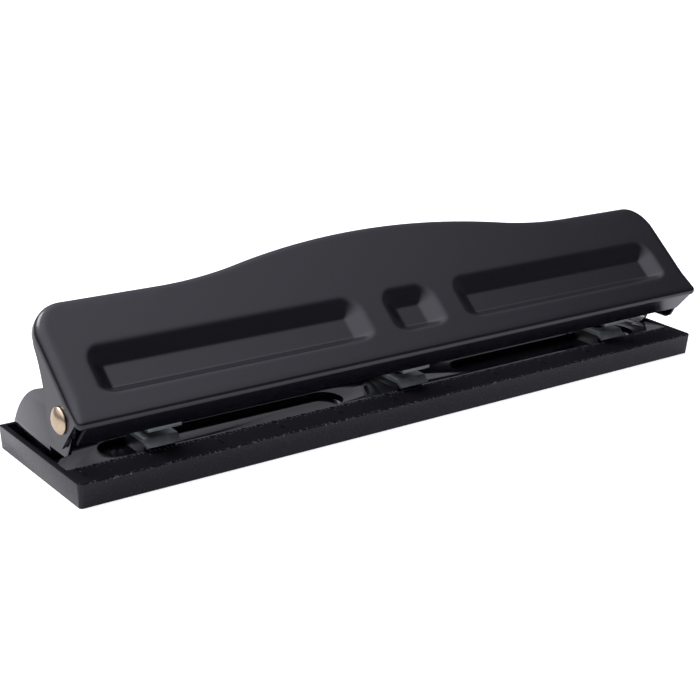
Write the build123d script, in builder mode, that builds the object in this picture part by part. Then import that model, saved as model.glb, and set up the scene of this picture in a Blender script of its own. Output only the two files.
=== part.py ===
"""Three hole punch.

A pressed steel handle turns on two rivets in the ears of a steel bed. Under it stand three
C-shaped punch heads, each with a spring-returned punch pin, and the bed drops into a moulded
chip tray whose wide front rim carries a paper scale.

Frame: X along the punch, Y from the paper side to the back, Z up, millimetres. The origin is
the centre of the footprint, at the level that the rubber feet stand on.
"""
import os
from math import asin, atan, cos, degrees, pi, radians, sin

from build123d import *

os.makedirs("parts", exist_ok=True)

# ---- Chip tray -------------------------------------------------------------------------
tray_length = 290.0
tray_width = 58.0
rim_height = 8.9
tray_floor = 1.4
tray_wall = 1.8
tray_front_corner = 1.2
tray_rear_corner = 3.5
tray_draft = 0.6
rim_roundover = 0.5
well_corner = 1.0
scale_rim_width = 12.0
rim_bays = 6
seat_gap = 0.3
post_count = 4
post_length = 6.0
post_width = 1.6
foot_diameter = 11.0
foot_thickness = 1.0
foot_proud = 0.2
foot_edge = 0.15
foot_end_inset = 16.0
foot_front_inset = 18.0
foot_back_inset = 9.0

# ---- Bed, ears and paper rail ----------------------------------------------------------
sheet = 1.2
bed_drop = 0.2
ear_setback = 1.6
ear_bend_radius = 6.0
ear_relief_width = 0.7
ear_tail_inset = 6.7
ear_cut_reach = 2.2
ear_back_radius = 31.4
ear_crest_reach = 15.7
ear_crest_rise = 5.2
ear_toe = 0.6
ear_nose_back = 3.2
ear_nose_height = 4.0
ear_nose_slope = 1.3
ear_nose_flat = 3.4
bed_flange_depth = 3.6
trough_depth = 2.4
trough_width = 13.8
trough_offset = 0.6
trough_inner_end = 28.0
trough_past_head = 19.0
rail_above_throat = 1.2
rail_foot = 10.0
rail_bend = 0.6
rail_end_gap = 2.0

# ---- Punch heads and pins --------------------------------------------------------------
hole_spacing = 108.0
pin_inset = 8.5
pin_radius = 3.55
pin_running_gap = 0.05
margin_to_stop = 12.0
head_width = 12.8
head_sheet = 1.6
head_reach = 10.4
head_lift = 2.6
head_bend = 1.4
throat_height = 3.3
lip_length = 2.6
lip_drop = 2.4
lip_edge = 0.8
lip_lead = 0.5
die_relief = 0.45
block_side_gap = 0.4
chip_hole_radius = 4.5
pin_tip_inset = 0.2
tip_notch = 3.2
tip_notch_drop = 0.6
spring_length = 11.6
spring_radius = 5.5
spring_wire = 0.9
spring_end_gap = 0.05
clip_thickness = 0.8
clip_radius = 5.8
clip_mouth_share = 0.8
groove_radius = 2.8
collar_height = 1.2
collar_chamfer = 0.4
neck_radius = 2.5
neck_length = 5.7
head_rivet_radius = 1.4
head_rivet_half_pitch = 3.4
head_rivet_inset = 2.2
rivet_flare = 0.9
rivet_taper = 30.0

# ---- Handle ----------------------------------------------------------------------------
handle_tilt = 39.0
face_depth = 46.6
wave_rise = 10.0
wave_share = 0.667
wave_foot_radius = 164.0
handle_corner = 12.0
handle_bend = 2.2
front_flange = 12.0
back_flange = 5.0
corner_slit_depth = 2.2
recess_depth = 3.6
recess_mouth_lead = 0.2
recess_skin_share = 0.6
recess_low = (8.9, 13.2)
recess_high = (29.2, 21.0)
recess_end_margin = 11.4
recess_floor_end_margin = 18.6
recess_inner_end = 21.4
recess_floor_inner_end = 29.5
middle_recess_half = 13.0
middle_recess_floor_half = 5.2
recess_corner = 7.0
recess_floor_corner = 2.5

# ---- Pivots ----------------------------------------------------------------------------
pivot_reach = 8.5
pivot_lift = 17.7
pivot_up = 8.8
pivot_depth = 9.8
pivot_shank_radius = 2.5
pivot_running_gap = 0.05
side_gap = 0.3
pivot_gap = 0.1
pivot_head_radius = 4.6
pivot_head_height = 2.4
pivot_head_rim = 0.6
pivot_tail_radius = 3.8
pivot_tail_height = 1.0
pivot_tail_edge = 0.4
cheek_lobe_radius = 9.5
cheek_lobe_end = 53.0
cheek_shoulder = 9.0
cheek_waist_up = 14.0
cheek_waist_depth = 1.2
cheek_waist_bow = 0.8
cheek_front_drop = 4.5
ear_lobe_radius = 6.6

# ---- Levels and lines that follow from them --------------------------------------------
tray_bottom = foot_proud
tray_floor_top = tray_bottom + tray_floor
bed_top = rim_height - bed_drop
bed_under = bed_top - sheet
trough_floor = bed_top - trough_depth
tray_inner_end = tray_length / 2 - tray_wall
well_front = -tray_width / 2 + scale_rim_width
well_back = tray_width / 2 - tray_wall
bed_front = well_front + seat_gap
bed_back = well_back - seat_gap
pin_line = bed_front + pin_inset
trough_line = pin_line - trough_offset
ear_outer_face = tray_length / 2 - ear_setback
ear_inner_face = ear_outer_face - sheet
ear_bend_start = ear_outer_face - ear_bend_radius
ear_base = bed_under + ear_bend_radius
ear_tail = bed_back - ear_tail_inset
ear_front_cut = pin_line + ear_cut_reach
head_bottom = bed_top + head_lift
throat_floor = head_bottom + head_sheet
throat_roof = throat_floor + throat_height
head_top = throat_roof + head_sheet
head_front = pin_line - head_reach
paper_stop = pin_line + margin_to_stop
head_back = paper_stop + head_sheet
head_rivet_line = paper_stop - head_rivet_inset
rail_height = throat_floor + rail_above_throat
rail_rivet_line = head_back + (rail_foot + sheet) / 2
pin_tip = throat_roof + pin_tip_inset
clip_height = head_top + spring_length
clip_top = clip_height + clip_thickness
collar_top = clip_top + collar_height
pin_top = collar_top + neck_length
rivet_top_radius = head_rivet_radius + rivet_flare
rivet_sink = degrees(atan(rivet_flare / head_sheet))
trough_outer_end = hole_spacing + trough_past_head
head_places = {"left": -hole_spacing, "centre": 0.0, "right": hole_spacing}
rail_end = ear_bend_start - rail_end_gap
rail_rivet_places = [
    (side * x, rail_rivet_line)
    for side in (-1, 1)
    for x in (trough_inner_end, (trough_inner_end + rail_end) / 2, rail_end - rail_foot)
]
handle_half_length = ear_outer_face + side_gap + sheet
cheek_inner_face = handle_half_length - sheet
wave_half_length = wave_share * handle_half_length
pivot = (pin_line - pivot_reach, bed_top + pivot_lift)
tilt = radians(handle_tilt)
up_slope = (0, cos(tilt), sin(tilt))
face_normal = (0, -sin(tilt), cos(tilt))
face_front = (
    pivot[0] - pivot_up * cos(tilt) - pivot_depth * sin(tilt),
    pivot[1] - pivot_up * sin(tilt) + pivot_depth * cos(tilt),
)

face_plane = Plane(origin=(0, *face_front), x_dir=(1, 0, 0), z_dir=face_normal)
side_plane = Plane(origin=(0, *face_front), x_dir=up_slope, z_dir=(1, 0, 0))
beyond = 2 * tray_width


def save(piece, name):
    """Label a finished piece and write its STEP file."""
    piece.label = name
    export_step(piece, f"parts/{name}.step")


# ---- Chip tray: a shallow moulded box with a wide front rim ----------------------------
wall_height = rim_height - tray_bottom
well_centre = (0, (well_front + well_back) / 2)
well_size = (2 * tray_inner_end, well_back - well_front)
post_height = bed_top - bed_flange_depth - seat_gap - tray_floor_top
post_pitch = 2 * ear_bend_start / post_count
bay_pitch = tray_length / rim_bays
rim_hollow = scale_rim_width - 2 * tray_wall - tray_draft
foot_places = [
    (side * (tray_length / 2 - foot_end_inset), y)
    for side in (-1, 1)
    for y in (-tray_width / 2 + foot_front_inset, tray_width / 2 - foot_back_inset)
]

with BuildPart() as chip_tray:
    with BuildSketch(Plane.XY.offset(tray_bottom)):
        footprint = Rectangle(tray_length - 2 * tray_draft, tray_width - 2 * tray_draft)
        fillet(footprint.vertices().group_by(Axis.Y)[0], tray_front_corner)
        fillet(footprint.vertices().group_by(Axis.Y)[-1], tray_rear_corner)
    extrude(amount=wall_height, taper=-degrees(atan(tray_draft / wall_height)))
    fillet(chip_tray.faces().sort_by(Axis.Z)[-1].outer_wire().edges(), rim_roundover)
    with BuildSketch(Plane.XY.offset(tray_floor_top)):
        with Locations(well_centre):
            RectangleRounded(*well_size, well_corner)
    extrude(amount=wall_height, mode=Mode.SUBTRACT)
    # The scale rim is hollow from below, with webs across it.
    with BuildSketch(Plane.XY.offset(tray_bottom)):
        with Locations((0, well_front - tray_wall - rim_hollow / 2)):
            with GridLocations(bay_pitch, 1, rim_bays, 1):
                Rectangle(bay_pitch - 2 * tray_wall, rim_hollow)
    extrude(amount=wall_height - tray_wall, mode=Mode.SUBTRACT)
    # Posts under the folded front and back edges of the bed.
    with BuildSketch(Plane.XY.offset(tray_floor_top)):
        with Locations((0, bed_front + sheet / 2), (0, bed_back - sheet / 2)):
            with GridLocations(post_pitch, 1, post_count, 1):
                Rectangle(post_length, post_width)
    extrude(amount=post_height)
    with BuildSketch(Plane.XY.offset(tray_bottom)):
        with Locations(*foot_places):
            Circle(foot_diameter / 2)
    extrude(amount=foot_thickness - foot_proud, mode=Mode.SUBTRACT)
save(chip_tray.part, "chip_tray")

with BuildPart() as rubber_feet:
    with BuildSketch(Plane.XY):
        with Locations(*foot_places):
            Circle(foot_diameter / 2)
    extrude(amount=foot_thickness)
    chamfer(rubber_feet.faces().sort_by(Axis.Z)[:4].edges(), foot_edge)
save(rubber_feet.part, "rubber_feet")


# ---- Base plate: bed, sunk troughs, folded edges and the two ears ----------------------
trough_length = trough_outer_end - trough_inner_end
trough_middle = (trough_outer_end + trough_inner_end) / 2
trough_centres = [(-trough_middle, trough_line), (trough_middle, trough_line)]
bed_middle = (bed_front + bed_back) / 2
ear_notch_back = ear_front_cut - ear_relief_width
bend_zone = ear_tail - ear_front_cut
lobe_mid_angle = (tilt + pi + pi / 2) / 2
lobe_low = (pivot[0] - ear_lobe_radius * cos(tilt), pivot[1] - ear_lobe_radius * sin(tilt))
lobe_mid = (
    pivot[0] + ear_lobe_radius * cos(lobe_mid_angle),
    pivot[1] + ear_lobe_radius * sin(lobe_mid_angle),
)
lobe_top = (pivot[0], pivot[1] + ear_lobe_radius)
ear_crest = (pivot[0] + ear_crest_reach, pivot[1] + ear_crest_rise)
ear_heel = (ear_tail - ear_toe, ear_base + ear_toe)
ear_nose = pivot[0] - ear_nose_back
chip_hole_places = [(x, pin_line) for x in head_places.values()]
head_rivet_places = [
    (x + side * head_rivet_half_pitch, head_rivet_line)
    for x in head_places.values()
    for side in (-1, 1)
]

with BuildPart() as base_plate:
    with BuildSketch(Plane.XY.offset(bed_under)):
        with Locations((0, bed_middle)):
            Rectangle(2 * ear_bend_start, bed_back - bed_front)
        with Locations((0, (bed_front + ear_notch_back) / 2)):
            Rectangle(2 * (tray_inner_end - seat_gap), ear_notch_back - bed_front)
    extrude(amount=sheet)
    # Front and back edges folded down into the tray.
    with Locations((0, bed_front + sheet / 2, bed_top - bed_flange_depth / 2)):
        Box(2 * ear_bend_start, sheet, bed_flange_depth)
    with Locations((0, bed_back - sheet / 2, bed_top - bed_flange_depth / 2)):
        Box(2 * ear_bend_start, sheet, bed_flange_depth)
    # Troughs pressed down between the outer heads and the middle.
    with BuildSketch(Plane.XY.offset(trough_floor - sheet)):
        with Locations(*trough_centres):
            SlotOverall(trough_length + 2 * sheet, trough_width + 2 * sheet)
    extrude(amount=trough_depth + sheet / 2)
    with BuildSketch(Plane.XY.offset(trough_floor)):
        with Locations(*trough_centres):
            SlotOverall(trough_length, trough_width)
    extrude(amount=trough_depth, mode=Mode.SUBTRACT)
    # Bends that carry the ears, behind the free front part of each ear.
    with BuildSketch(Plane.XZ.offset(-ear_tail)):
        with BuildLine():
            Line((ear_bend_start, bed_top), (ear_bend_start, bed_under))
            RadiusArc((ear_bend_start, bed_under), (ear_outer_face, ear_base), -ear_bend_radius)
            Line((ear_outer_face, ear_base), (ear_inner_face, ear_base))
            RadiusArc((ear_inner_face, ear_base), (ear_bend_start, bed_top), ear_bend_radius - sheet)
        make_face()
        mirror(about=Plane.YZ)
    extrude(amount=bend_zone)
    # Ears: tail arc at the back, lobe round the pivot, free corner at the front.
    for side in (-1, 1):
        with BuildSketch(Plane.YZ.offset(side * (ear_outer_face - sheet / 2))):
            with BuildLine():
                Line((ear_tail, ear_base), ear_heel)
                RadiusArc(ear_heel, ear_crest, -ear_back_radius)
                Line(ear_crest, lobe_top)
                ThreePointArc(lobe_top, lobe_mid, lobe_low)
                Polyline(
                    lobe_low,
                    (ear_nose, ear_base + ear_nose_height),
                    (ear_nose + ear_nose_slope, ear_base + ear_nose_slope),
                    (ear_nose + ear_nose_flat, ear_base),
                    (ear_tail, ear_base),
                )
            make_face()
        extrude(amount=sheet / 2, both=True)
    # Holes for the pivot rivets, the chips and the rivets of the heads and the rail.
    with Locations((0, *pivot)):
        Cylinder(
            pivot_shank_radius, 2 * handle_half_length, rotation=(0, 90, 0), mode=Mode.SUBTRACT
        )
    with BuildSketch(Plane.XY.offset(bed_top)):
        with Locations(*chip_hole_places):
            Circle(chip_hole_radius)
    extrude(amount=-2 * (trough_depth + sheet), mode=Mode.SUBTRACT)
    with BuildSketch(Plane.XY.offset(bed_top)):
        with Locations(*head_rivet_places, *rail_rivet_places):
            Circle(head_rivet_radius)
    extrude(amount=-sheet, mode=Mode.SUBTRACT)
save(base_plate.part, "base_plate")


# ---- Paper rail: an angle behind the heads, riveted to the bed -------------------------
with BuildPart() as paper_rail:
    with BuildSketch(Plane.YZ.offset(-rail_end)):
        with BuildLine():
            Polyline(
                (head_back, bed_top),
                (head_back + rail_foot, bed_top),
                (head_back + rail_foot, bed_top + sheet),
                (head_back + sheet, bed_top + sheet),
                (head_back + sheet, rail_height),
                (head_back, rail_height),
                close=True,
            )
        make_face()
    extrude(amount=2 * rail_end)
    fillet(paper_rail.edges().filter_by(Axis.X).sort_by(Axis.Z)[:1], rail_bend)
    with BuildSketch(Plane.XY.offset(bed_top)):
        with Locations(*rail_rivet_places):
            Circle(head_rivet_radius)
    extrude(amount=sheet, mode=Mode.SUBTRACT)
save(paper_rail.part, "paper_rail")

with BuildPart() as rail_rivets:
    with BuildSketch(Plane.XY.offset(bed_under)):
        with Locations(*rail_rivet_places):
            Circle(head_rivet_radius)
    extrude(amount=2 * sheet)
    for level, height in ((bed_top + sheet, rivet_flare), (bed_under, -rivet_flare)):
        with BuildSketch(Plane.XY.offset(level)):
            with Locations(*rail_rivet_places):
                Circle(rivet_top_radius)
        extrude(amount=height, taper=rivet_taper)
save(rail_rivets.part, "rail_rivets")

# ---- Punch heads: a C of sheet steel on a spacer block ---------------------------------
block_front = trough_line - trough_width / 2 + seat_gap
block_width = head_width - 2 * block_side_gap

for name, x in head_places.items():
    rivet_spots = [(x + side * head_rivet_half_pitch, head_rivet_line) for side in (-1, 1)]

    with BuildPart() as punch_head:
        with BuildSketch(Plane.YZ.offset(x - head_width / 2)):
            with BuildLine():
                lip_root = head_front + lip_length
                Polyline(
                    (head_front, throat_floor - lip_drop),
                    (lip_root, throat_floor),
                    (paper_stop, throat_floor),
                    (paper_stop, throat_roof),
                    (head_front, throat_roof),
                    (head_front, head_top),
                    (head_back, head_top),
                    (head_back, head_bottom),
                    (lip_root + lip_lead, head_bottom),
                    (head_front + 2 * lip_lead, throat_floor - lip_drop - lip_edge),
                    close=True,
                )
            make_face()
        extrude(amount=head_width)
        fillet(punch_head.edges().filter_by(Axis.X).group_by(Axis.Y)[-1], head_bend)
        with Locations((x, pin_line, throat_roof)):
            Cylinder(pin_radius + pin_running_gap, 4 * throat_height, mode=Mode.SUBTRACT)
        with BuildSketch(Plane.XY.offset(throat_floor)):
            with Locations(*rivet_spots):
                Circle(rivet_top_radius)
        extrude(amount=-head_sheet, taper=rivet_sink, mode=Mode.SUBTRACT)
    save(punch_head.part, f"punch_head_{name}")

    with BuildPart() as die_block:
        with Locations((x, (block_front + head_back) / 2, (bed_top + head_bottom) / 2)):
            Box(block_width, head_back - block_front, head_lift)
        if abs(x) > trough_inner_end:
            with Locations((x, trough_line, (trough_floor + bed_top) / 2)):
                Box(block_width, trough_width - 2 * seat_gap, trough_depth)
        with Locations((x, pin_line, bed_top)):
            Cylinder(pin_radius + die_relief, 4 * head_lift, mode=Mode.SUBTRACT)
        with BuildSketch(Plane.XY.offset(bed_top)):
            with Locations(*rivet_spots):
                Circle(head_rivet_radius)
        extrude(amount=head_lift, mode=Mode.SUBTRACT)
    save(die_block.part, f"die_block_{name}")

    with BuildPart() as punch_pin:
        with BuildSketch(Plane.XZ.offset(-pin_line)):
            with BuildLine():
                Polyline(
                    (0, pin_tip),
                    (pin_radius, pin_tip),
                    (pin_radius, clip_height),
                    (groove_radius, clip_height),
                    (groove_radius, clip_top),
                    (pin_radius, clip_top),
                    (pin_radius, collar_top - collar_chamfer),
                    (pin_radius - collar_chamfer, collar_top),
                    (neck_radius, collar_top),
                    (neck_radius, pin_top - neck_radius),
                )
                RadiusArc((neck_radius, pin_top - neck_radius), (0, pin_top), -neck_radius)
                Line((0, pin_top), (0, pin_tip))
            make_face()
        revolve(axis=Axis((0, pin_line, 0), (0, 0, 1)))
        # A shallow notch across the tip leaves two cutting points.
        with BuildSketch(Plane.YZ.offset(-2 * pin_radius)):
            with Locations((pin_line, pin_tip - tip_notch_drop)):
                Rectangle(tip_notch, tip_notch, rotation=45)
        extrude(amount=4 * pin_radius, mode=Mode.SUBTRACT)
    save(Pos(x, 0, 0) * punch_pin.part, f"punch_pin_{name}")

    with BuildPart() as spring_clip:
        with BuildSketch(Plane.XY.offset(clip_height)):
            with Locations((x, pin_line)):
                Circle(clip_radius)
                Circle(groove_radius, mode=Mode.SUBTRACT)
            with Locations((x, pin_line + clip_radius / 2)):
                Rectangle(2 * clip_mouth_share * groove_radius, clip_radius, mode=Mode.SUBTRACT)
        extrude(amount=clip_thickness)
    save(spring_clip.part, f"spring_clip_{name}")

    with BuildPart() as return_spring:
        with BuildSketch(Plane.XY.offset(head_top + spring_end_gap)):
            with Locations((x, pin_line)):
                Circle(spring_radius)
                Circle(spring_radius - spring_wire, mode=Mode.SUBTRACT)
        extrude(amount=clip_height - head_top - 2 * spring_end_gap)
    save(return_spring.part, f"return_spring_{name}")

with BuildPart() as head_rivets:
    with BuildSketch(Plane.XY.offset(bed_under)):
        with Locations(*head_rivet_places):
            Circle(head_rivet_radius)
    extrude(amount=throat_floor - bed_under)
    with BuildSketch(Plane.XY.offset(throat_floor)):
        with Locations(*head_rivet_places):
            Circle(rivet_top_radius)
    extrude(amount=-head_sheet, taper=rivet_sink)
    with BuildSketch(Plane.XY.offset(bed_under)):
        with Locations(*head_rivet_places):
            Circle(rivet_top_radius)
    extrude(amount=-rivet_flare, taper=rivet_taper)
save(head_rivets.part, "head_rivets")


# ---- Handle: a pressed shell with three recesses, cheeks and two flanges ----------------
wave_crest_radius = (wave_half_length**2 + wave_rise**2) / (2 * wave_rise) - wave_foot_radius
wave_turn = degrees(asin(wave_half_length / (wave_foot_radius + wave_crest_radius)))
shell_depth = tray_width
flange_inner_end = ear_inner_face - side_gap


def handle_outline(inset):
    """Outline of the handle's face, with its wave at the back, drawn in by inset."""
    half = handle_half_length
    with BuildSketch(face_plane, mode=Mode.PRIVATE) as outline:
        with BuildLine():
            Line((0, 0), (half, 0))
            Line((half, 0), (half, face_depth))
            Line((half, face_depth), (wave_half_length, face_depth))
            foot = JernArc(
                (wave_half_length, face_depth), (-1, 0), wave_foot_radius, -wave_turn
            )
            JernArc(foot @ 1, foot % 1, wave_crest_radius, wave_turn)
            mirror(about=Plane.YZ)
        make_face()
        fillet(outline.vertices().group_by(Axis.Y)[0], handle_bend)
        fillet(
            outline.vertices().filter_by(lambda v: abs(abs(v.X) - half) < 0.01).group_by(Axis.Y)[-1],
            handle_corner,
        )
        if inset:
            offset(amount=-inset, mode=Mode.REPLACE)
    return outline.sketch


def recess(outer, floor, low, high, grow, lower):
    """A pressed recess between two x stations, as a loft from its mouth to its floor."""
    with BuildPart(mode=Mode.PRIVATE) as pocket:
        with BuildSketch(face_plane.offset(recess_mouth_lead - lower)):
            with Locations(((outer[0] + outer[1]) / 2, (low[0] + high[0]) / 2)):
                RectangleRounded(
                    outer[1] - outer[0] + 2 * grow, high[0] - low[0] + 2 * grow, recess_corner
                )
        with BuildSketch(face_plane.offset(-recess_depth - lower)):
            with Locations(((floor[0] + floor[1]) / 2, (low[1] + high[1]) / 2)):
                RectangleRounded(
                    floor[1] - floor[0] + 2 * grow, high[1] - low[1] + 2 * grow, recess_floor_corner
                )
        loft()
    return pocket.part


long_recess = (recess_inner_end, handle_half_length - recess_end_margin)
long_recess_floor = (recess_floor_inner_end, handle_half_length - recess_floor_end_margin)
recesses = [
    (long_recess, long_recess_floor),
    ([-v for v in reversed(long_recess)], [-v for v in reversed(long_recess_floor)]),
    (
        (-middle_recess_half, middle_recess_half),
        (-middle_recess_floor_half, middle_recess_floor_half),
    ),
]
waist = (pivot_up + cheek_waist_up, -pivot_depth - cheek_waist_depth)
shoulder = (face_depth - cheek_shoulder, -back_flange)
waist_middle = (
    (waist[0] + shoulder[0]) / 2,
    (waist[1] + shoulder[1]) / 2 + cheek_waist_bow,
)
lobe_start = (
    pivot_up + cheek_lobe_radius * cos(radians(cheek_lobe_end)),
    -pivot_depth - cheek_lobe_radius * sin(radians(cheek_lobe_end)),
)
lobe_bottom = (pivot_up, -pivot_depth - cheek_lobe_radius)
lobe_end = (0.0, -pivot_depth - cheek_front_drop)

with BuildPart() as handle_shell:
    extrude(handle_outline(0), amount=-shell_depth)
    fillet(handle_shell.faces().sort_by(Axis(face_plane.origin, face_plane.z_dir))[-1].edges(),
           handle_bend)
    with BuildPart(mode=Mode.SUBTRACT) as hollow:
        extrude(handle_outline(sheet).moved(Location(-sheet * face_plane.z_dir)), amount=-shell_depth)
        fillet(hollow.faces().sort_by(Axis(face_plane.origin, face_plane.z_dir))[-1].edges(),
               handle_bend - sheet)
    # The recesses are pressed in, so their undersides stand down inside the shell.
    for outer, floor in recesses:
        add(recess(outer, floor, recess_low, recess_high, recess_skin_share * sheet, sheet))
    for outer, floor in recesses:
        add(recess(outer, floor, recess_low, recess_high, 0.0, 0.0), mode=Mode.SUBTRACT)
    # The skirt is cut back to a deep cheek with a round lobe at each end, and shallow flanges.
    with BuildSketch(side_plane):
        with BuildLine():
            Polyline((beyond, -beyond), (beyond, -back_flange), shoulder)
            ThreePointArc(shoulder, waist_middle, waist)
            Line(waist, lobe_start)
            ThreePointArc(lobe_start, lobe_bottom, lobe_end)
            Polyline(lobe_end, (-sheet, lobe_end[1]), (-sheet, -beyond), (beyond, -beyond))
        make_face()
    extrude(amount=handle_half_length, both=True, mode=Mode.SUBTRACT)
    # The front flange is shorter than the cheeks and ends clear of the ears.
    with BuildSketch(side_plane):
        with Locations((0, -front_flange - beyond / 2)):
            Rectangle(4 * sheet, beyond)
    extrude(amount=cheek_inner_face, both=True, mode=Mode.SUBTRACT)
    for side in (-1, 1):
        slit_middle = side * (flange_inner_end + cheek_inner_face) / 2
        with BuildSketch(side_plane.offset(slit_middle)):
            with Locations((0, -corner_slit_depth - beyond / 2)):
                Rectangle(4 * sheet, beyond)
        extrude(amount=(cheek_inner_face - flange_inner_end) / 2, both=True, mode=Mode.SUBTRACT)
    with Locations((0, *pivot)):
        Cylinder(
            pivot_shank_radius + pivot_running_gap,
            3 * handle_half_length,
            rotation=(0, 90, 0),
            mode=Mode.SUBTRACT,
        )
save(handle_shell.part, "handle_shell")

# ---- Pivot rivets: domed outside, with a small tail inside the ear ---------------------
head_seat = handle_half_length + pivot_gap - ear_inner_face
dome_rise = pivot_head_height - pivot_head_rim
dome_radius = (pivot_head_radius**2 + dome_rise**2) / (2 * dome_rise)

for name, side in (("left", -1), ("right", 1)):
    with BuildPart() as pivot_rivet:
        with BuildSketch(Plane.XZ):
            with BuildLine():
                rim = (pivot_head_radius, head_seat + pivot_head_rim)
                tip = (0, head_seat + pivot_head_height)
                Polyline(
                    (0, -pivot_tail_height),
                    (pivot_tail_radius - pivot_tail_edge, -pivot_tail_height),
                    (pivot_tail_radius, -pivot_tail_edge),
                    (pivot_tail_radius, 0),
                    (pivot_shank_radius, 0),
                    (pivot_shank_radius, head_seat),
                    (pivot_head_radius, head_seat),
                    rim,
                )
                RadiusArc(rim, tip, -dome_radius)
                Line(tip, (0, -pivot_tail_height))
            make_face()
        revolve(axis=Axis.Z)
    place = Pos(side * ear_inner_face, *pivot) * Rot(0, side * 90, 0)
    save(place * pivot_rivet.part, f"pivot_rivet_{name}")
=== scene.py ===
import math

import bmesh
import bpy
from mathutils import Matrix, Vector
from mathutils.geometry import delaunay_2d_cdt


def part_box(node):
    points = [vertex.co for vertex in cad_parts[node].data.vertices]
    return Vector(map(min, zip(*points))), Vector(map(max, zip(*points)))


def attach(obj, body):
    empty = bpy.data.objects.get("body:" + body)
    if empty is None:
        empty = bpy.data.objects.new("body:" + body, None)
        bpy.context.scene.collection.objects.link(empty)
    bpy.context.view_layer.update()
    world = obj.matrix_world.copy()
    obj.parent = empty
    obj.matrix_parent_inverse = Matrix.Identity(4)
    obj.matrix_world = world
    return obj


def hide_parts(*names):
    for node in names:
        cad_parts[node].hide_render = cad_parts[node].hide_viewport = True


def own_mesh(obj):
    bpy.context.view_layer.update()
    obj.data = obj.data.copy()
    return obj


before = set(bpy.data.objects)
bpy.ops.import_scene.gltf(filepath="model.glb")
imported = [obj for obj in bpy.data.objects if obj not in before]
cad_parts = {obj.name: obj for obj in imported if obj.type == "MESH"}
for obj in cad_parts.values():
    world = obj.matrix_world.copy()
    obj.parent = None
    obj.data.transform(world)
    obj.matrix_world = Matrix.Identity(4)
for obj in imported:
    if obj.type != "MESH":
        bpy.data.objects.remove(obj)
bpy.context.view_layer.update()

MM = 0.001
SIDES = ("left", "centre", "right")
INCH = 25.4
RIM_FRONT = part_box("chip_tray")[0].y
RIM_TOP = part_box("chip_tray")[1].z


# ---- Node and colour helpers -----------------------------------------------------------


def linear(code, alpha=1.0):
    """An sRGB hex colour such as 2a2b2d as linear red, green, blue, alpha."""
    parts = [int(code[i:i + 2], 16) / 255 for i in (0, 2, 4)]
    return [p / 12.92 if p <= 0.04045 else ((p + 0.055) / 1.055) ** 2.4 for p in parts] + [alpha]


def add(tree, kind, settings=None, **inputs):
    """Add a node, set its properties, and set or link its inputs by name (underscores are spaces)."""
    node = tree.nodes.new(kind)
    for key, value in (settings or {}).items():
        setattr(node, key, value)
    for key, value in inputs.items():
        socket = node.inputs[int(key[1:])] if key[0] == "i" and key[1:].isdigit() else \
            node.inputs[key.replace("_", " ")]
        if isinstance(value, bpy.types.NodeSocket):
            tree.links.new(value, socket)
        else:
            socket.default_value = value
    return node


def new_material(name):
    """An empty material with its output, its Principled shader and Object coordinates."""
    material = bpy.data.materials.new(name)
    material.use_nodes = True
    tree = material.node_tree
    tree.nodes.clear()
    out = tree.nodes.new("ShaderNodeOutputMaterial")
    shader = tree.nodes.new("ShaderNodeBsdfPrincipled")
    tree.links.new(shader.outputs[0], out.inputs[0])
    place = tree.nodes.new("ShaderNodeTexCoord").outputs["Object"]
    return material, tree, shader, place


def per_mm(size):
    """Noise scale that gives features of about this size in millimetres."""
    return 1 / (size * MM)


# ---- Materials -------------------------------------------------------------------------


def baked_enamel(name, colour, rough, ripple, ripple_mm=1.6):
    """Stoved black enamel on pressed steel: a smooth film with a faint orange peel."""
    material, tree, shader, place = new_material(name)
    peel = add(tree, "ShaderNodeTexNoise", Vector=place, Scale=per_mm(ripple_mm), Detail=2.0)
    cloud = add(tree, "ShaderNodeTexNoise", Vector=place, Scale=per_mm(34), Detail=3.0)
    tone = add(tree, "ShaderNodeMapRange", Value=cloud.outputs[0], To_Min=0.82, To_Max=1.18)
    base = add(tree, "ShaderNodeMix", {"data_type": "RGBA", "blend_type": "MULTIPLY"}, i0=1.0)
    base.inputs[6].default_value = linear(colour)
    tree.links.new(tone.outputs[0], base.inputs[7])
    tree.links.new(base.outputs[2], shader.inputs["Base Color"])
    gloss = add(tree, "ShaderNodeMapRange", Value=cloud.outputs[0],
                To_Min=rough * 0.88, To_Max=rough * 1.12)
    tree.links.new(gloss.outputs[0], shader.inputs["Roughness"])
    bump = add(tree, "ShaderNodeBump", Strength=ripple, Distance=0.00006, Height=peel.outputs[0])
    tree.links.new(bump.outputs[0], shader.inputs["Normal"])
    shader.inputs["IOR"].default_value = 1.5
    return material


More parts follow.
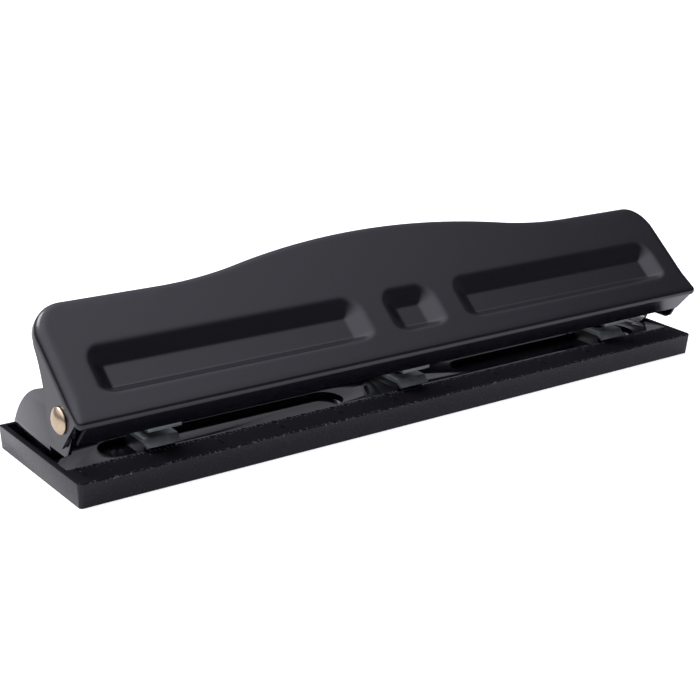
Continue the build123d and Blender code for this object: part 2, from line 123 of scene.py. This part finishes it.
def moulded_plastic(name, colour):
    """Injection moulded black ABS: polished, finely grained, dusty along its top front edge."""
    material, tree, shader, place = new_material(name)
    grain = add(tree, "ShaderNodeTexNoise", Vector=place, Scale=per_mm(0.5), Detail=3.0)
    dust = add(tree, "ShaderNodeTexNoise", Vector=place, Scale=per_mm(0.9), Detail=4.0,
               Roughness=0.7)
    apart = add(tree, "ShaderNodeSeparateXYZ", i0=place)
    edge = add(tree, "ShaderNodeMapRange", Value=apart.outputs["Y"],
               From_Min=RIM_FRONT + 1.56 * MM, From_Max=RIM_FRONT + 0.36 * MM)
    top = add(tree, "ShaderNodeMapRange", Value=apart.outputs["Z"],
              From_Min=RIM_TOP - 1.3 * MM, From_Max=RIM_TOP - 0.3 * MM, To_Max=0.13)
    caught = add(tree, "ShaderNodeMath", {"operation": "MULTIPLY_ADD"}, i0=edge.outputs[0],
                 i1=top.outputs[0], i2=dust.outputs[0])
    specks = add(tree, "ShaderNodeMapRange", Value=caught.outputs[0], From_Min=0.66,
                 From_Max=0.76, To_Min=0.0, To_Max=0.3)
    base = add(tree, "ShaderNodeMix", {"data_type": "RGBA"}, i0=specks.outputs[0])
    base.inputs[6].default_value = linear(colour)
    base.inputs[7].default_value = linear("9a9a9c")
    tree.links.new(base.outputs[2], shader.inputs["Base Color"])
    # The scale rim's top is spark textured, so it is matt where the walls are polished.
    texture = add(tree, "ShaderNodeMapRange", Value=apart.outputs["Z"],
                  From_Min=RIM_TOP - 0.4 * MM, From_Max=RIM_TOP - 0.2 * MM)
    shine = add(tree, "ShaderNodeMapRange", Value=texture.outputs[0], To_Min=0.3, To_Max=0.05)
    tree.links.new(shine.outputs[0], shader.inputs["Specular IOR Level"])
    gloss = add(tree, "ShaderNodeMapRange", Value=grain.outputs[0], To_Min=0.2, To_Max=0.34)
    rough = add(tree, "ShaderNodeMath", {"operation": "MULTIPLY_ADD"}, i0=texture.outputs[0],
                i1=0.45, i2=gloss.outputs[0])
    tree.links.new(rough.outputs[0], shader.inputs["Roughness"])
    bump = add(tree, "ShaderNodeBump", Strength=0.12, Distance=0.00008, Height=grain.outputs[0])
    tree.links.new(bump.outputs[0], shader.inputs["Normal"])
    return material


def plated_steel(name, colour, rough, grain_mm, metal=1.0, stretch=(1.0, 0.06, 1.0)):
    """Zinc, nickel or bright steel: a metal skin with fine drawn lines along the sheet."""
    material, tree, shader, place = new_material(name)
    turned = add(tree, "ShaderNodeMapping", Vector=place, Scale=stretch)
    lines = add(tree, "ShaderNodeTexNoise", Vector=turned.outputs[0], Scale=per_mm(grain_mm),
                Detail=4.0)
    spangle = add(tree, "ShaderNodeTexVoronoi", Vector=place, Scale=per_mm(2.4))
    tone = add(tree, "ShaderNodeMapRange", Value=spangle.outputs[1], To_Min=0.86, To_Max=1.1)
    base = add(tree, "ShaderNodeMix", {"data_type": "RGBA", "blend_type": "MULTIPLY"}, i0=1.0)
    base.inputs[6].default_value = linear(colour)
    tree.links.new(tone.outputs[0], base.inputs[7])
    tree.links.new(base.outputs[2], shader.inputs["Base Color"])
    shader.inputs["Metallic"].default_value = metal
    gloss = add(tree, "ShaderNodeMapRange", Value=lines.outputs[0],
                To_Min=rough * 0.75, To_Max=rough * 1.25)
    tree.links.new(gloss.outputs[0], shader.inputs["Roughness"])
    bump = add(tree, "ShaderNodeBump", Strength=0.3, Distance=0.00004, Height=lines.outputs[0])
    tree.links.new(bump.outputs[0], shader.inputs["Normal"])
    return material


def foot_rubber():
    """Moulded rubber: matt, nearly black, slightly dusty."""
    material, tree, shader, place = new_material("moulded_rubber")
    grain = add(tree, "ShaderNodeTexNoise", Vector=place, Scale=per_mm(0.7), Detail=4.0)
    tone = add(tree, "ShaderNodeMix", {"data_type": "RGBA"}, i0=grain.outputs[0])
    tone.inputs[6].default_value = linear("18181a")
    tone.inputs[7].default_value = linear("2b2b2d")
    tree.links.new(tone.outputs[2], shader.inputs["Base Color"])
    shader.inputs["Roughness"].default_value = 0.85
    bump = add(tree, "ShaderNodeBump", Strength=0.5, Distance=0.0001, Height=grain.outputs[0])
    tree.links.new(bump.outputs[0], shader.inputs["Normal"])
    return material


handle_enamel = baked_enamel("satin_stoved_enamel", "0b0b12", 0.25, 0.22)
bed_enamel = baked_enamel("gloss_stoved_enamel", "05060b", 0.12, 0.15, ripple_mm=2.2)
tray_plastic = moulded_plastic("moulded_black_abs", "121217")
# The graduations are the tray's own black ABS, painted light grey as a highlight where their raised
# bars catch the light.
tick_plastic_painted_highlight = moulded_plastic("black_abs_painted_highlight", "4c4c53")
zinc = plated_steel("zinc_plated_sheet", "7c8284", 0.5, 0.5, metal=0.75)
nickel = plated_steel("nickel_plated_rivet", "c4b196", 0.3, 0.4, stretch=(1, 1, 1))
pin_steel = plated_steel("ground_tool_steel", "b5b6b8", 0.2, 0.3, stretch=(1, 1, 0.05))
block_steel = plated_steel("oiled_mild_steel", "4a4b4e", 0.42, 0.6)
spring_wire = plated_steel("bright_spring_wire", "a8a9ac", 0.25, 0.3, stretch=(1, 1, 1))
rubber = foot_rubber()


# ---- Mesh helpers ----------------------------------------------------------------------


def link(name, mesh, material):
    """A new object at the origin for a finished mesh."""
    piece = bpy.data.objects.new(name, mesh)
    bpy.context.scene.collection.objects.link(piece)
    mesh.materials.clear()
    mesh.materials.append(material)
    return piece


def settle(piece):
    """Bake a piece's modifiers into a plain mesh and remove them."""
    bpy.context.view_layer.update()
    graph = bpy.context.evaluated_depsgraph_get()
    mesh = bpy.data.meshes.new_from_object(piece.evaluated_get(graph))
    piece.modifiers.clear()
    piece.data = mesh
    return piece


def smooth(piece, angle=35):
    """Shade smooth, with creases sharper than angle kept."""
    piece.data.shade_smooth()
    piece.data.set_sharp_from_angle(angle=math.radians(angle))


def eased(node, material, width, segments=2):
    """A CAD node's shape with its sharp edges eased to a small radius, standing for the node."""
    mesh = bpy.data.meshes.new(node + "_eased")
    shape = bmesh.new()
    shape.from_mesh(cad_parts[node].data)
    bmesh.ops.remove_doubles(shape, verts=shape.verts, dist=2e-6)
    bmesh.ops.dissolve_limit(shape, angle_limit=math.radians(0.8), verts=shape.verts,
                             edges=shape.edges)
    shape.to_mesh(mesh)
    shape.free()
    piece = link(node + "_eased", mesh, material)
    bevel = piece.modifiers.new("ease", "BEVEL")
    bevel.width = width * MM
    bevel.segments = segments
    bevel.limit_method = "ANGLE"
    bevel.angle_limit = math.radians(40)
    bevel.harden_normals = False
    settle(piece)
    smooth(piece, 30)
    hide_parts(node)
    return piece


def ride_as(piece, body):
    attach(piece, body)
    return piece


# ---- Handle: a pressed shell in the plane of its face ----------------------------------
TILT = math.radians(39.0)
FACE_FRONT = Vector((0, -29.706, 28.478))
UP_SLOPE = Vector((0, math.cos(TILT), math.sin(TILT)))
OUT = Vector((0, -math.sin(TILT), math.cos(TILT)))
HALF = 144.9
FACE_DEPTH = 46.6
WAVE_RISE = 10.0
WAVE_HALF = 96.65
WAVE_FOOT = 164.0
WAVE_CREST = (WAVE_HALF ** 2 + WAVE_RISE ** 2) / (2 * WAVE_RISE) - WAVE_FOOT
CORNER = 12.0
FRONT_CORNER = 2.2
BEND = 2.2
SIDE_BEND = 3.6
BEND_RUN = 8.0
FRONT_BEND = 1.8
SHEET = 1.2
FLANGE = 12.0
BACK_FLANGE = 5.0
FLANGE_END = 141.9
SLIT = 2.4
RECESS_DEPTH = 3.6
PIVOT_UP = 8.8
PIVOT_IN = -9.8
PIVOT_BORE = 2.55
LOBE = 9.5
LOBE_END = math.radians(53)
WAIST_UP = 14.0
WAIST_IN = 1.2
WAIST_BOW = 0.8
SHOULDER = 9.0
BEND_STEPS = 6
WALL_LEVELS = 7
GUIDE = 0.9


def on_handle(x, s, n):
    """A point of the handle in metres from millimetres along, up and out of its face."""
    return (Vector((x, 0, 0)) + FACE_FRONT + s * UP_SLOPE + n * OUT) * MM


def arc_points(centre, radius, start, end, steps):
    """Points on an arc between two angles in degrees, ends included."""
    turn = [math.radians(start + (end - start) * i / steps) for i in range(steps + 1)]
    return [(centre[0] + radius * math.cos(a), centre[1] + radius * math.sin(a)) for a in turn]


def wave_outline():
    """The face's outline, anticlockwise from the middle of its front edge."""
    right = [(x, 0.0) for x in (0.0, 20, 40, 60, 80, 100, 120, 132, FLANGE_END)]
    right += arc_points((HALF - FRONT_CORNER, FRONT_CORNER), FRONT_CORNER, -90, 0, 6)
    sides = 12
    top_side = FACE_DEPTH - CORNER
    right += [(HALF, FRONT_CORNER + (top_side - FRONT_CORNER) * i / sides) for i in range(1, sides)]
    right += arc_points((HALF - CORNER, top_side), CORNER, 0, 90, 14)
    right += [(x, FACE_DEPTH) for x in (124.0, 115.0, 106.0)]
    turn = math.degrees(math.asin(WAVE_HALF / (WAVE_FOOT + WAVE_CREST)))
    right += arc_points((WAVE_HALF, FACE_DEPTH + WAVE_FOOT), WAVE_FOOT, -90, -90 - turn, 16)
    crest = (0.0, FACE_DEPTH + WAVE_RISE - WAVE_CREST)
    right += arc_points(crest, WAVE_CREST, 90 - turn, 90, 24)[1:]
    left = [(-x, s) for x, s in reversed(right[1:-1])]
    return right + left


def inward(points):
    """Unit normals that point into a closed anticlockwise outline."""
    found = []
    for i, point in enumerate(points):
        before = Vector(points[i - 1])
        after = Vector(points[(i + 1) % len(points)])
        along = (after - before).normalized()
        found.append(Vector((-along.y, along.x)))
    return found


RECESS_LOW = (8.9, 13.2)
RECESS_HIGH = (29.2, 21.0)
RECESSES = [
    ((21.4, 133.5), (29.5, 126.3)),
    ((-133.5, -21.4), (-126.3, -29.5)),
    ((-13.0, 13.0), (-5.2, 5.2)),
]
MOUTH_EASE = 0.34
FLOOR_EASE = 0.12


def ramp(t):
    """0 at a recess's mouth to 1 at its floor: a straight wall with both ends rounded off."""
    t = min(max(t, 0.0), 1.0)
    slope = 1 / (1 - (MOUTH_EASE + FLOOR_EASE) / 2)
    if t < MOUTH_EASE:
        return slope * t * t / (2 * MOUTH_EASE)
    if t > 1 - FLOOR_EASE:
        return 1 - slope * (1 - t) ** 2 / (2 * FLOOR_EASE)
    return slope * (t - MOUTH_EASE / 2)


def recess_depth(x, s):
    """How deep the face is pressed in at a point, in millimetres."""
    if s < RECESS_LOW[1]:
        up = (RECESS_LOW[1] - s) / (RECESS_LOW[1] - RECESS_LOW[0])
    else:
        up = max(0.0, (s - RECESS_HIGH[1]) / (RECESS_HIGH[0] - RECESS_HIGH[1]))
    deepest = 0.0
    for outer, floor in RECESSES:
        if x < floor[0]:
            across = (floor[0] - x) / (floor[0] - outer[0])
        else:
            across = max(0.0, (x - floor[1]) / (outer[1] - floor[1]))
        deepest = max(deepest, RECESS_DEPTH * ramp(1 - math.hypot(across, up)))
    return deepest


def spread(stops):
    """Stations along a line from (start, end, step) stretches."""
    found = []
    for start, end, step in stops:
        count = max(1, round((end - start) / step))
        found += [start + (end - start) * i / count for i in range(count)]
    return found + [stops[-1][1]]


def cheek_depth(s):
    """Depth of the cheek below the face at a distance up the slope."""
    start = (PIVOT_UP + LOBE * math.cos(LOBE_END),
             PIVOT_IN - LOBE * math.sin(LOBE_END))
    edge = (PIVOT_UP + WAIST_UP, PIVOT_IN - WAIST_IN)
    shoulder = (FACE_DEPTH - SHOULDER, -BACK_FLANGE)
    if s <= start[0]:
        drop = LOBE ** 2 - (s - PIVOT_UP) ** 2
        return -(PIVOT_IN - math.sqrt(max(drop, 0.0)))
    if s <= edge[0]:
        share = (s - start[0]) / (edge[0] - start[0])
        return -(start[1] + (edge[1] - start[1]) * share)
    if s <= shoulder[0]:
        share = (s - edge[0]) / (shoulder[0] - edge[0])
        rise = edge[1] + (shoulder[1] - edge[1]) * share
        return -(rise + WAIST_BOW * math.sin(math.pi * share))
    return BACK_FLANGE


def drill(piece, centre, radius):
    """Cut one round bore along X through a finished piece, clear of the shank inside it."""
    mesh = bpy.data.meshes.new("bore")
    shape = bmesh.new()
    along_x = Matrix.Translation(centre) @ Matrix.Rotation(math.radians(90), 4, "Y")
    bmesh.ops.create_cone(shape, cap_ends=True, segments=64, radius1=radius * MM,
                          radius2=radius * MM, depth=3 * HALF * MM, matrix=along_x)
    shape.to_mesh(mesh)
    shape.free()
    bit = bpy.data.objects.new("bore", mesh)
    bpy.context.scene.collection.objects.link(bit)
    cut = piece.modifiers.new("bore", "BOOLEAN")
    cut.operation = "DIFFERENCE"
    cut.solver = "EXACT"
    cut.object = bit
    settle(piece)
    bpy.data.objects.remove(bit)
    bpy.data.meshes.remove(mesh)


def build_handle():
    """The handle as one pressed sheet: recessed face, rolled edge, cheeks and two flanges."""
    outline = wave_outline()
    normals = inward(outline)
    count = len(outline)
    shape = bmesh.new()

    def bend_at(point):
        """Radius rolled round the face's edge: tight in front, full down the two sides."""
        side = max((abs(point[0]) - HALF + CORNER) / CORNER, 0.0)
        rise = min(max((point[1] - FRONT_CORNER) / BEND_RUN, 0.0), 1.0)
        full = BEND + (SIDE_BEND - BEND) * side ** 2
        return FRONT_BEND + (full - FRONT_BEND) * rise

    def root_at(point):
        """Depth at which the bend has turned into a straight wall."""
        return max(SLIT, bend_at(point) + 0.2)

    # The flat of the face, triangulated inside the start of the bend.
    rim = [Vector(p) + n * bend_at(p) for p, n in zip(outline, normals)]
    half_xs = spread([(0.0, 5.2, 0.87), (5.2, 13.0, 0.6), (13.0, 21.4, 0.7), (21.4, 29.5, 0.6),
                      (29.5, 31.5, 0.66), (31.5, 124.5, 3.0), (124.5, 126.3, 0.6),
                      (126.3, 133.5, 0.6), (133.5, 139.8, 1.2)])
    xs = [-x for x in reversed(half_xs[1:])] + half_xs
    ss = spread([(3.6, 8.9, 0.9), (8.9, 13.2, 0.43), (13.2, 15.0, 0.6), (15.0, 19.0, 1.3),
                 (19.0, 21.0, 0.5), (21.0, 29.2, 0.5), (29.2, 32.0, 0.9), (32.0, 57.0, 3.0)])
    inner = [Vector(p) + n * (bend_at(p) + GUIDE) for p, n in zip(outline, normals)]

    def crest(x):
        """Height of the outline's back edge above the front at a station."""
        x = abs(x)
        turn = math.asin(WAVE_HALF / (WAVE_FOOT + WAVE_CREST))
        joint = WAVE_HALF - WAVE_FOOT * math.sin(turn)
        if x < joint:
            return FACE_DEPTH + WAVE_RISE - WAVE_CREST + math.sqrt(WAVE_CREST ** 2 - x * x)
        if x < WAVE_HALF:
            return FACE_DEPTH + WAVE_FOOT - math.sqrt(WAVE_FOOT ** 2 - (WAVE_HALF - x) ** 2)
        if x < HALF - CORNER:
            return FACE_DEPTH
        return FACE_DEPTH - CORNER + math.sqrt(max(CORNER ** 2 - (x - HALF + CORNER) ** 2, 0))

    grid = [Vector((x, s)) for x in xs for s in ss if s < crest(x) - SIDE_BEND - 1.2]
    points = rim + inner + grid
    loop = [(i, (i + 1) % count) for i in range(count)]
    flat = delaunay_2d_cdt(points, loop, [], 1, 1e-5)
    face_verts = [shape.verts.new(on_handle(p.x, p.y, -recess_depth(p.x, p.y))) for p in flat[0]]
    origin = {}
    for new_index, sources in enumerate(flat[3]):
        for source in sources:
            origin.setdefault(source, new_index)
    for triangle in flat[2]:
        shape.faces.new([face_verts[i] for i in triangle])

    # Rings that follow the outline round the bend and down to the level of the slits.
    rings = [[face_verts[origin[i]] for i in range(count)]]
    for step in range(1, BEND_STEPS + 1):
        turn = math.radians(90 * step / BEND_STEPS)
        ring = []
        for point, normal in zip(outline, normals):
            radius = bend_at(point)
            where = Vector(point) + normal * radius * (1 - math.sin(turn))
            ring.append(shape.verts.new(on_handle(*where, -radius * (1 - math.cos(turn)))))
        rings.append(ring)
    rings.append([shape.verts.new(on_handle(*p, -root_at(p))) for p in outline])
    for above, below in zip(rings, rings[1:]):
        for i in range(count):
            j = (i + 1) % count
            shape.faces.new([above[j], above[i], below[i], below[j]])

    # The front flange between the slits, and the cheeks with the back flange.
    front = [i for i, p in enumerate(outline) if p[1] < 1e-6 and abs(p[0]) <= FLANGE_END + 1e-6]
    front = sorted(front, key=lambda i: outline[i][0])
    first = next(i for i, p in enumerate(outline) if p[0] > HALF - 1e-6 and p[1] >= FRONT_CORNER - 1e-6)
    last = next(i for i in range(count - 1, 0, -1)
                if outline[i][0] < -HALF + 1e-6 and outline[i][1] >= FRONT_CORNER - 1e-6)
    around = list(range(first, last + 1))

    def depth_at(point):
        if abs(point[0]) > HALF - 1e-6:
            return cheek_depth(point[1])
        return BACK_FLANGE

    for run, depth in ((front, lambda p: FLANGE), (around, depth_at)):
        previous = [rings[-1][i] for i in run]
        for level in range(1, WALL_LEVELS + 1):
            current = []
            for i in run:
                root = root_at(outline[i])
                n = root + (depth(outline[i]) - root) * level / WALL_LEVELS
                current.append(shape.verts.new(on_handle(*outline[i], -n)))
            for k in range(len(run) - 1):
                shape.faces.new([previous[k + 1], previous[k], current[k], current[k + 1]])
            previous = current

    mesh = bpy.data.meshes.new("handle_pressing")
    shape.to_mesh(mesh)
    shape.free()
    piece = link("handle_pressing", mesh, handle_enamel)
    wall = piece.modifiers.new("sheet", "SOLIDIFY")
    wall.thickness = SHEET * MM
    wall.offset = -1.0
    wall.use_even_offset = True
    wall.use_quality_normals = True
    settle(piece)
    drill(piece, on_handle(0, PIVOT_UP, PIVOT_IN), PIVOT_BORE)
    smooth(piece, 40)
    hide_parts("handle_shell")
    return ride_as(piece, "handle")


build_handle()


# ---- Springs, made by Geometry Nodes from their real wire, radius and turns -------------


def nodes_modifier(piece, tree, values):
    """Put a node tree on a piece, with its inputs set by identifier before evaluation."""
    modifier = piece.modifiers.new("shape", "NODES")
    modifier.node_group = tree
    for item in tree.interface.items_tree:
        if item.item_type == "SOCKET" and item.in_out == "INPUT" and item.name in values:
            modifier[item.identifier] = values[item.name]
    return piece


def new_tree(name, inputs):
    """A geometry node tree with float inputs and one geometry output."""
    tree = bpy.data.node_groups.new(name, "GeometryNodeTree")
    for label, value in inputs.items():
        kind = "NodeSocketInt" if isinstance(value, int) else "NodeSocketFloat"
        socket = tree.interface.new_socket(label, in_out="INPUT", socket_type=kind)
        socket.default_value = value
    tree.interface.new_socket("Geometry", in_out="OUTPUT", socket_type="NodeSocketGeometry")
    return tree, tree.nodes.new("NodeGroupInput").outputs, tree.nodes.new("NodeGroupOutput")


def finish_tree(tree, geometry, out, material):
    real = add(tree, "GeometryNodeRealizeInstances", i0=geometry)
    painted = add(tree, "GeometryNodeSetMaterial", i0=real.outputs[0])
    painted.inputs["Material"].default_value = material
    tree.links.new(painted.outputs[0], out.inputs[0])


def coil_tree():
    """A round wire wound into a helix of a given radius, height and number of turns."""
    tree, given, out = new_tree("coil", {"Radius": 0.005, "Height": 0.01, "Turns": 6.0,
                                         "Wire": 0.0005})
    helix = add(tree, "GeometryNodeCurveSpiral", Resolution=28, Rotations=given["Turns"],
                Start_Radius=given["Radius"], End_Radius=given["Radius"], Height=given["Height"])
    section = add(tree, "GeometryNodeCurvePrimitiveCircle", Resolution=8, Radius=given["Wire"])
    wire = add(tree, "GeometryNodeCurveToMesh", Curve=helix.outputs[0],
               Profile_Curve=section.outputs[0], Fill_Caps=True)
    round_wire = add(tree, "GeometryNodeSetShadeSmooth", i0=wire.outputs[0])
    finish_tree(tree, round_wire.outputs[0], out, spring_wire)
    return tree


coil = coil_tree()
WIRE_RADIUS = 0.45 * MM
COIL_TURNS = 6.5
for side in SIDES:
    node = f"return_spring_{side}"
    low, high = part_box(node)
    values = {"Radius": (high.x - low.x) / 2 - WIRE_RADIUS,
              "Height": high.z - low.z - 2 * WIRE_RADIUS, "Turns": COIL_TURNS, "Wire": WIRE_RADIUS}
    piece = link(f"return_coil_{side}", bpy.data.meshes.new(node), spring_wire)
    settle(nodes_modifier(piece, coil, values))
    piece.data.transform(Matrix.Translation(((low.x + high.x) / 2, (low.y + high.y) / 2,
                                             low.z + WIRE_RADIUS)))
    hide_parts(node)
    ride_as(piece, "frame")
    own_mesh(piece)


# ---- Paper scale along the back edge of the tray's front rim ---------------------------
SCALE_BACK = -16.7 * MM


def tick_tree():
    """A row of raised bars, side by side along X, as moulded graduations."""
    tree, given, out = new_tree("graduations", {"Count": 10, "Pitch": 0.0016, "First": 0.0,
                                                "Back": 0.0, "Length": 0.002, "Width": 0.0003,
                                                "Height": 0.0002, "Level": 0.009})
    step = add(tree, "ShaderNodeCombineXYZ", X=given["Pitch"])
    middle = add(tree, "ShaderNodeMath", {"operation": "MULTIPLY_ADD"}, i0=given["Length"],
                 i1=-0.5, i2=given["Back"])
    start = add(tree, "ShaderNodeCombineXYZ", X=given["First"], Y=middle.outputs[0],
                Z=given["Level"])
    row = add(tree, "GeometryNodeMeshLine", Count=given["Count"], Start_Location=start.outputs[0],
              Offset=step.outputs[0])
    size = add(tree, "ShaderNodeCombineXYZ", X=given["Width"], Y=given["Length"],
               Z=given["Height"])
    bar = add(tree, "GeometryNodeMeshCube", Size=size.outputs[0])
    placed = add(tree, "GeometryNodeInstanceOnPoints", Points=row.outputs[0],
                 Instance=bar.outputs[0])
    # Painted highlight: the bars take the light grey copy of the tray's black plastic.
    finish_tree(tree, placed.outputs[0], out, tick_plastic_painted_highlight)
    return tree


ticks = tick_tree()
SCALE_INCHES = 11
NUMBER_SIZE = 3.4 * MM
NUMBER_DROP = 7.2 * MM
for label, per_inch, length in (("sixteenths", 16, 1.7), ("quarters", 4, 2.6), ("inches", 1, 3.6)):
    values = {"Count": SCALE_INCHES * per_inch + 1, "Pitch": INCH * MM / per_inch,
              "First": -SCALE_INCHES * INCH * MM / 2, "Back": SCALE_BACK, "Length": length * MM,
              "Width": 0.3 * MM, "Height": 0.22 * MM, "Level": RIM_TOP}
    # The tick rows carry the painted highlight colour, not a different plastic.
    piece = link(f"scale_{label}", bpy.data.meshes.new(label), tick_plastic_painted_highlight)
    settle(nodes_modifier(piece, ticks, values))
    ride_as(piece, "chip_tray")


def scale_numbers():
    """Generic inch numbers moulded into the rim in front of the graduations."""
    shape = bmesh.new()
    for inch in range(SCALE_INCHES + 1):
        words = bpy.data.curves.new("number", "FONT")
        words.body = str(inch)
        words.size = NUMBER_SIZE
        words.extrude = 0.12 * MM
        words.align_x = "CENTER"
        words.resolution_u = 3
        holder = bpy.data.objects.new("number", words)
        bpy.context.scene.collection.objects.link(holder)
        bpy.context.view_layer.update()
        graph = bpy.context.evaluated_depsgraph_get()
        mesh = bpy.data.meshes.new_from_object(holder.evaluated_get(graph))
        x = (inch - SCALE_INCHES / 2) * INCH * MM
        mesh.transform(Matrix.Translation((x, SCALE_BACK - NUMBER_DROP, RIM_TOP + 0.05 * MM)))
        shape.from_mesh(mesh)
        bpy.data.objects.remove(holder)
        bpy.data.meshes.remove(mesh)
    bmesh.ops.remove_doubles(shape, verts=shape.verts, dist=1e-6)
    mesh = bpy.data.meshes.new("scale_numbers")
    shape.to_mesh(mesh)
    shape.free()
    return ride_as(link("scale_numbers", mesh, tray_plastic), "chip_tray")


scale_numbers()


# ---- The rest keeps its CAD shape, with its edges eased --------------------------------
ride_as(eased("chip_tray", tray_plastic, 0.25), "chip_tray")
ride_as(eased("rubber_feet", rubber, 0.15), "chip_tray")
ride_as(eased("base_plate", bed_enamel, 0.35, 3), "frame")
ride_as(eased("paper_rail", bed_enamel, 0.3), "frame")
ride_as(eased("rail_rivets", block_steel, 0.2), "frame")
ride_as(eased("head_rivets", zinc, 0.12), "frame")
for side in ("left", "right"):
    ride_as(eased(f"pivot_rivet_{side}", nickel, 0.15), "frame")
for side in SIDES:
    ride_as(eased(f"punch_head_{side}", zinc, 0.22), "frame")
    ride_as(eased(f"die_block_{side}", block_steel, 0.2), "frame")
    ride_as(eased(f"punch_pin_{side}", pin_steel, 0.1), f"pin_{side}")
    ride_as(eased(f"spring_clip_{side}", zinc, 0.1), f"pin_{side}")


# ---- Floor, light and camera -----------------------------------------------------------


def studio():
    """A white paper sweep under a soft box, with a darker low horizon behind the punch."""
    floor_mesh = bpy.data.meshes.new("floor")
    reach = 6.0
    floor_mesh.from_pydata([(-reach, -reach, 0), (reach, -reach, 0), (reach, reach, 0),
                            (-reach, reach, 0)], [], [(0, 1, 2, 3)])
    material, tree, shader, place = new_material("white_sweep")
    shader.inputs["Base Color"].default_value = (0.78, 0.78, 0.78, 1)
    shader.inputs["Roughness"].default_value = 0.9
    shader.inputs["Specular IOR Level"].default_value = 0.1
    shader.inputs["Emission Color"].default_value = (1, 1, 1, 1)
    seen = tree.nodes.new("ShaderNodeLightPath")
    lift = add(tree, "ShaderNodeMath", {"operation": "MULTIPLY"}, i0=seen.outputs["Is Camera Ray"],
               i1=0.6)
    tree.links.new(lift.outputs[0], shader.inputs["Emission Strength"])
    link("floor", floor_mesh, material)

    world = bpy.data.worlds.new("studio")
    bpy.context.scene.world = world
    world.use_nodes = True
    tree = world.node_tree
    tree.nodes.clear()
    out = tree.nodes.new("ShaderNodeOutputWorld")
    way = tree.nodes.new("ShaderNodeTexCoord").outputs["Generated"]
    apart = add(tree, "ShaderNodeSeparateXYZ", i0=way)
    toward = add(tree, "ShaderNodeVectorMath", {"operation": "DOT_PRODUCT"}, i0=way,
                 i1=Vector((-0.35, 0.1, 0.93)).normalized())
    softbox = add(tree, "ShaderNodeMapRange", Value=toward.outputs["Value"], From_Min=0.3,
                  From_Max=0.95, To_Min=0.0, To_Max=2.5)
    above = add(tree, "ShaderNodeMapRange", {"interpolation_type": "SMOOTHSTEP"},
                Value=apart.outputs["Z"], From_Min=0.2, From_Max=0.5)
    glow = add(tree, "ShaderNodeMath", {"operation": "MULTIPLY_ADD"}, i0=softbox.outputs[0],
               i1=above.outputs[0], i2=0.14)
    behind = add(tree, "ShaderNodeMapRange", {"interpolation_type": "SMOOTHSTEP"},
                 Value=apart.outputs["Y"], From_Min=0.25, From_Max=0.6)
    low = add(tree, "ShaderNodeMapRange", {"interpolation_type": "SMOOTHSTEP"},
              Value=apart.outputs["Z"], From_Min=0.12, From_Max=0.28, To_Max=0.6)
    wall = add(tree, "ShaderNodeMath", {"operation": "MULTIPLY"}, i0=behind.outputs[0],
               i1=low.outputs[0])
    level = add(tree, "ShaderNodeMath", {"operation": "MAXIMUM"}, i0=glow.outputs[0],
                i1=wall.outputs[0])
    room = add(tree, "ShaderNodeBackground", Color=(0.77, 0.755, 0.85, 1), Strength=level.outputs[0])
    sweep = add(tree, "ShaderNodeBackground", Color=(1, 1, 1, 1), Strength=1.0)
    ray = tree.nodes.new("ShaderNodeLightPath")
    both = add(tree, "ShaderNodeMixShader", i0=ray.outputs["Is Camera Ray"],
               i1=room.outputs[0], i2=sweep.outputs[0])
    tree.links.new(both.outputs[0], out.inputs[0])

    lamp = bpy.data.lights.new("sweep_lamp", "AREA")
    lamp.shape = "RECTANGLE"
    lamp.size = lamp.size_y = 1.2
    lamp.energy = 40
    holder = bpy.data.objects.new("sweep_lamp", lamp)
    bpy.context.scene.collection.objects.link(holder)
    holder.location = (-0.9, 1.5, 1.6)
    down = Vector((-0.8, 1.2, 0)) - Vector(holder.location)
    holder.rotation_euler = down.to_track_quat("-Z", "Y").to_euler()

    bpy.context.scene.view_settings.view_transform = "Standard"


def camera():
    """Three-quarter view from the front left, a little above the punch."""
    azimuth, elevation, roll = (math.radians(v) for v in (-38.367, 19.522, 2.747))
    back = Vector((math.sin(azimuth) * math.cos(elevation),
                   -math.cos(azimuth) * math.cos(elevation), math.sin(elevation)))
    right = Vector((math.cos(azimuth), math.sin(azimuth), 0))
    up = back.cross(right)
    x_axis = right * math.cos(roll) + up * math.sin(roll)
    y_axis = up * math.cos(roll) - right * math.sin(roll)
    lens = bpy.data.cameras.new("camera")
    lens.sensor_width = 36.0
    lens.lens = 75.181
    lens.clip_end = 50
    holder = bpy.data.objects.new("camera", lens)
    bpy.context.scene.collection.objects.link(holder)
    turn = Matrix((x_axis, y_axis, back)).transposed().to_4x4()
    holder.matrix_world = Matrix.Translation((-0.33714, -0.40415, 0.20446)) @ turn
    bpy.context.scene.camera = holder


studio()
camera()
